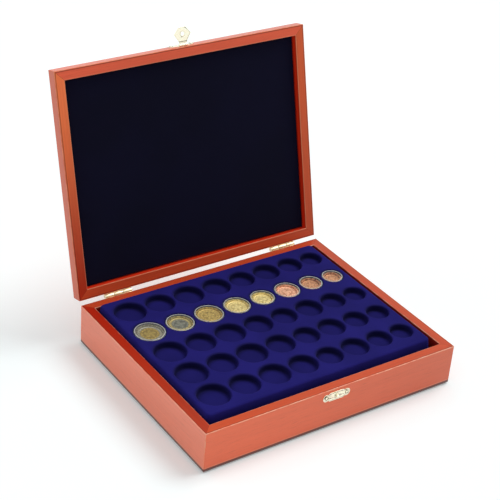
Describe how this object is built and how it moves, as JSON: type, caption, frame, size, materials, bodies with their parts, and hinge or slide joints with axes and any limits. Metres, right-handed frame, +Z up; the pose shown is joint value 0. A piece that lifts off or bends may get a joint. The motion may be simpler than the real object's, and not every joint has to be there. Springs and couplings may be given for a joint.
{
  "type": "coin case",
  "caption": "Wooden coin case with a hinged lined lid, brass hinges and hasp, and stacked lift-out trays of round recesses that hold coins in clear capsules.",
  "frame": {"origin": "centre of the base's underside", "axes": "+X along the front to the right, +Y to the rear, +Z up; the lid stands open behind the base"},
  "size_m": [0.305, 0.3249, 0.3066],
  "materials": {
    "stained_wood": "satin lacquer over a red-brown stain",
    "stained_panel": "satin lacquer over a red-brown stain",
    "dark_velour": "short matt pile",
    "blue_velour": "short flocked pile",
    "brass": "polished",
    "pin_steel": "drawn wire",
    "clear_plastic": "clear, glossy",
    "gold_alloy": "struck",
    "silver_alloy": "struck",
    "copper_alloy": "struck"
  },
  "bodies": {
    "base": {"base_front_rail": "stained_wood", "base_rear_rail": "stained_wood", "base_left_rail": "stained_wood", "base_right_rail": "stained_wood", "base_bottom_panel": "stained_panel", "left_hinge_base_leaf": "brass", "right_hinge_base_leaf": "brass", "left_hinge_pin": "pin_steel", "right_hinge_pin": "pin_steel", "base_hinge_screws": "brass", "keeper_plate": "brass", "keeper_nails": "brass"},
    "lid": {"lid_front_rail": "stained_wood", "lid_rear_rail": "stained_wood", "lid_left_rail": "stained_wood", "lid_right_rail": "stained_wood", "lid_top_panel": "stained_panel", "lid_lining": "dark_velour", "left_hinge_lid_leaf": "brass", "right_hinge_lid_leaf": "brass", "lid_hinge_screws": "brass", "hasp_plate": "brass", "hasp_pin": "pin_steel", "hasp_nails": "brass"},
    "hasp": {"hasp_flap": "brass"},
    "bottom_tray": {"bottom_tray": "blue_velour"},
    "middle_tray": {"middle_tray": "blue_velour"},
    "top_tray": {"top_tray": "blue_velour"},
    "capsule_1": {"coin_1": "silver_alloy", "capsule_base_1": "clear_plastic", "capsule_lid_1": "clear_plastic", "coin_1_core": "gold_alloy"},
    "capsule_2": {"coin_2": "gold_alloy", "capsule_base_2": "clear_plastic", "capsule_lid_2": "clear_plastic", "coin_2_core": "silver_alloy"},
    "capsule_3": {"coin_3": "gold_alloy", "capsule_base_3": "clear_plastic", "capsule_lid_3": "clear_plastic"},
    "capsule_4": {"coin_4": "gold_alloy", "capsule_base_4": "clear_plastic", "capsule_lid_4": "clear_plastic"},
    "capsule_5": {"coin_5": "gold_alloy", "capsule_base_5": "clear_plastic", "capsule_lid_5": "clear_plastic"},
    "capsule_6": {"coin_6": "copper_alloy", "capsule_base_6": "clear_plastic", "capsule_lid_6": "clear_plastic"},
    "capsule_7": {"coin_7": "copper_alloy", "capsule_base_7": "clear_plastic", "capsule_lid_7": "clear_plastic"},
    "capsule_8": {"coin_8": "copper_alloy", "capsule_base_8": "clear_plastic", "capsule_lid_8": "clear_plastic"}
  },
  "joints": [
    {"name": "lid_hinge", "type": "hinge", "parent": "base", "child": "lid", "pos_m": [0, 0.1252, 0.04715], "axis": [-1, 0, 0], "range_deg": [-104, 0]},
    {"name": "hasp_hinge", "type": "hinge", "parent": "lid", "child": "hasp", "pos_m": [0, 0.18877, 0.28828], "axis": [-1, 0, 0], "range_deg": [-90, 80]},
    {"name": "bottom_tray_lift", "type": "slide", "parent": "base", "child": "bottom_tray", "axis": [0, 0, 1], "range_m": [0, 0.045]},
    {"name": "middle_tray_lift", "type": "slide", "parent": "bottom_tray", "child": "middle_tray", "axis": [0, 0, 1], "range_m": [0, 0.03]},
    {"name": "top_tray_lift", "type": "slide", "parent": "middle_tray", "child": "top_tray", "axis": [0, 0, 1], "range_m": [0, 0.03]},
    {"name": "capsule_1_lift", "type": "slide", "parent": "top_tray", "child": "capsule_1", "axis": [0, 0, 1], "range_m": [0, 0.012]},
    {"name": "capsule_2_lift", "type": "slide", "parent": "top_tray", "child": "capsule_2", "axis": [0, 0, 1], "range_m": [0, 0.012]},
    {"name": "capsule_3_lift", "type": "slide", "parent": "top_tray", "child": "capsule_3", "axis": [0, 0, 1], "range_m": [0, 0.012]},
    {"name": "capsule_4_lift", "type": "slide", "parent": "top_tray", "child": "capsule_4", "axis": [0, 0, 1], "range_m": [0, 0.012]},
    {"name": "capsule_5_lift", "type": "slide", "parent": "top_tray", "child": "capsule_5", "axis": [0, 0, 1], "range_m": [0, 0.012]},
    {"name": "capsule_6_lift", "type": "slide", "parent": "top_tray", "child": "capsule_6", "axis": [0, 0, 1], "range_m": [0, 0.012]},
    {"name": "capsule_7_lift", "type": "slide", "parent": "top_tray", "child": "capsule_7", "axis": [0, 0, 1], "range_m": [0, 0.012]},
    {"name": "capsule_8_lift", "type": "slide", "parent": "top_tray", "child": "capsule_8", "axis": [0, 0, 1], "range_m": [0, 0.012]}
  ]
}
